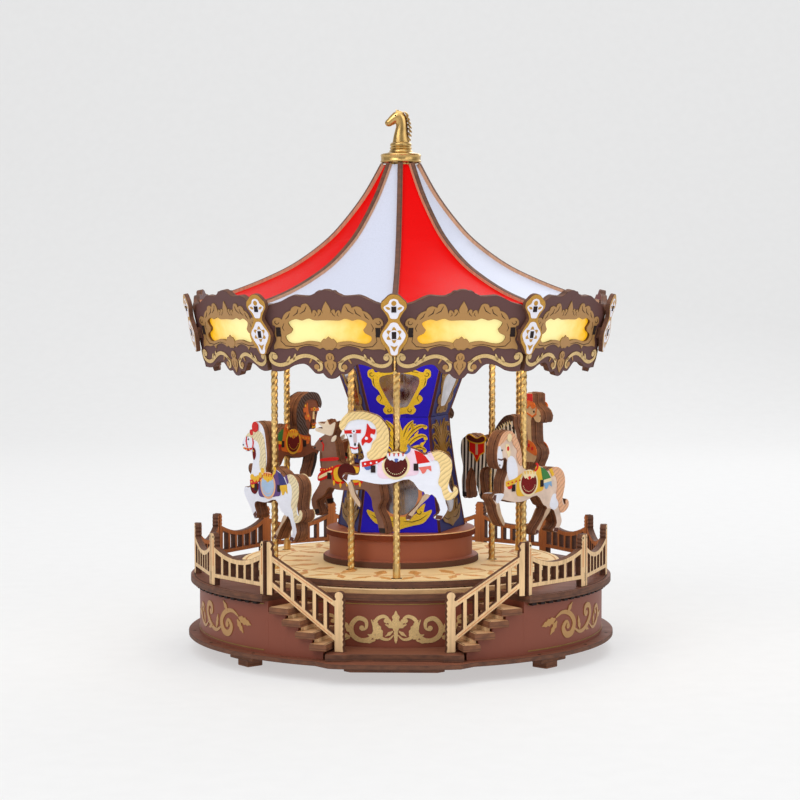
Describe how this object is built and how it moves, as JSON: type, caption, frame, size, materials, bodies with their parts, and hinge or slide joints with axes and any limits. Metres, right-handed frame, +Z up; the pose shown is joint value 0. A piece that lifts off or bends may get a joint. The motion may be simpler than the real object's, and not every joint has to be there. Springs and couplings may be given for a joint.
{
  "type": "carousel music box",
  "caption": "Wind-up carousel music box in laser-cut plywood, with fenced deck, stairs, turning tower and tent roof, and animals that rise and fall on gold poles",
  "frame": {"origin": "on the surface it stands on, under the middle of the base", "axes": "+Z up along the turning axis, -Y towards the front with the landing and the two flights of stairs, +X to the right seen from the front"},
  "size_m": [0.2046, 0.2112, 0.2584],
  "materials": {
    "dark_ply": "stained plywood, satin, with darker cut edges",
    "leather_card": "reddish brown grained card with gold printed scrolls",
    "light_ply": "bare basswood plywood with laser-browned edges",
    "marquetry": "printed pale wood inlay, satin",
    "plinth_card": "reddish brown grained card",
    "tower_print": "royal blue print with gold scrolls, semi-gloss",
    "roof_film": "red and white translucent sheet in turn",
    "board_ply": "dark mauve brown printed plywood with gold scrolls",
    "old_gold": "antique gold, satin",
    "pole_gold": "bright gold twisted rod",
    "brass": "satin brass",
    "steel": "brushed",
    "black_plastic": "matt black",
    "lamp_card": "warm white lamps on a small board, and the lit windows",
    "painted_ply": "printed plywood in several colours, laser-browned edges",
    "brown_ply": "printed brown plywood, laser-browned edges"
  },
  "bodies": {
    "root": {"base_plate": "dark_ply", "foot_front_right": "dark_ply", "foot_back_right": "dark_ply", "foot_back_left": "dark_ply", "foot_front_left": "dark_ply", "step_trim": "dark_ply", "drum_wall": "leather_card", "deck_plate": "dark_ply", "track_ring": "light_ply", "landing_plate": "dark_ply", "stair_left": "light_ply", "stair_right": "light_ply", "handrail_left": "light_ply", "handrail_right": "light_ply", "fence_right_front": "light_ply", "fence_right_back": "light_ply", "fence_left_back": "light_ply", "fence_left_front": "light_ply", "cam_ring": "dark_ply", "movement_plate": "brass", "comb": "steel"},
    "carousel": {"drive_shaft": "steel", "spring_barrel": "brass", "floor_disc": "marquetry", "plinth": "plinth_card", "tower_lower": "tower_print", "tower_upper": "tower_print", "ceiling_plate": "light_ply", "canopy_roof": "roof_film", "rounding_boards_1": "board_ply", "rounding_boards_2": "board_ply", "rounding_boards_3": "board_ply", "rounding_boards_4": "board_ply", "rounding_boards_5": "board_ply", "lamp_board": "lamp_card", "battery_holder": "black_plastic", "cap": "old_gold", "finial": "old_gold"},
    "cylinder": {"pin_cylinder": "brass"},
    "key": {"winding_key": "black_plastic"},
    "rider_1": {"pole_1": "pole_gold", "horse_white": "painted_ply"},
    "rider_2": {"pole_2": "pole_gold", "reindeer": "brown_ply"},
    "rider_3": {"pole_3": "pole_gold", "horse_pompom": "painted_ply"},
    "rider_4": {"pole_4": "pole_gold", "horse_brown": "brown_ply"},
    "rider_5": {"pole_5": "pole_gold", "zebra": "painted_ply"},
    "rider_6": {"pole_6": "pole_gold", "horse_pinto": "painted_ply"},
    "rider_7": {"pole_7": "pole_gold", "llama": "painted_ply"},
    "rider_8": {"pole_8": "pole_gold", "horse_rear": "brown_ply"},
    "rider_9": {"pole_9": "pole_gold", "horse_inner": "brown_ply"}
  },
  "joints": [
    {"name": "carousel_spin", "type": "hinge", "parent": "root", "child": "carousel", "pos_m": [0, 0, 0.04], "axis": [0, 0, 1], "continuous": true},
    {"name": "cylinder_spin", "type": "hinge", "parent": "root", "child": "cylinder", "pos_m": [0.02, 0, 0.0165], "axis": [1, 0, 0], "continuous": true},
    {"name": "key_turn", "type": "hinge", "parent": "root", "child": "key", "pos_m": [0, 0, 0.004], "axis": [0, 0, 1], "continuous": true},
    {"name": "rider_1_rise", "type": "slide", "parent": "carousel", "child": "rider_1", "axis": [0, 0, 1], "range_m": [-0.008, 0.002]},
    {"name": "rider_2_rise", "type": "slide", "parent": "carousel", "child": "rider_2", "axis": [0, 0, 1], "range_m": [-0.001, 0.009]},
    {"name": "rider_3_rise", "type": "slide", "parent": "carousel", "child": "rider_3", "axis": [0, 0, 1], "range_m": [-0.003, 0.007]},
    {"name": "rider_4_rise", "type": "slide", "parent": "carousel", "child": "rider_4", "axis": [0, 0, 1], "range_m": [-0.006, 0.004]},
    {"name": "rider_5_rise", "type": "slide", "parent": "carousel", "child": "rider_5", "axis": [0, 0, 1], "range_m": [-0.002, 0.008]},
    {"name": "rider_6_rise", "type": "slide", "parent": "carousel", "child": "rider_6", "axis": [0, 0, 1], "range_m": [-0.002, 0.008]},
    {"name": "rider_7_rise", "type": "slide", "parent": "carousel", "child": "rider_7", "axis": [0, 0, 1], "range_m": [-0.007, 0.003]},
    {"name": "rider_8_rise", "type": "slide", "parent": "carousel", "child": "rider_8", "axis": [0, 0, 1], "range_m": [-0.005, 0.005]},
    {"name": "rider_9_rise", "type": "slide", "parent": "carousel", "child": "rider_9", "axis": [0, 0, 1], "range_m": [-0.004, 0.006]}
  ],
  "couplings": [
    {"joint": "cylinder_spin", "follows": "carousel_spin", "ratio": -3}
  ]
}
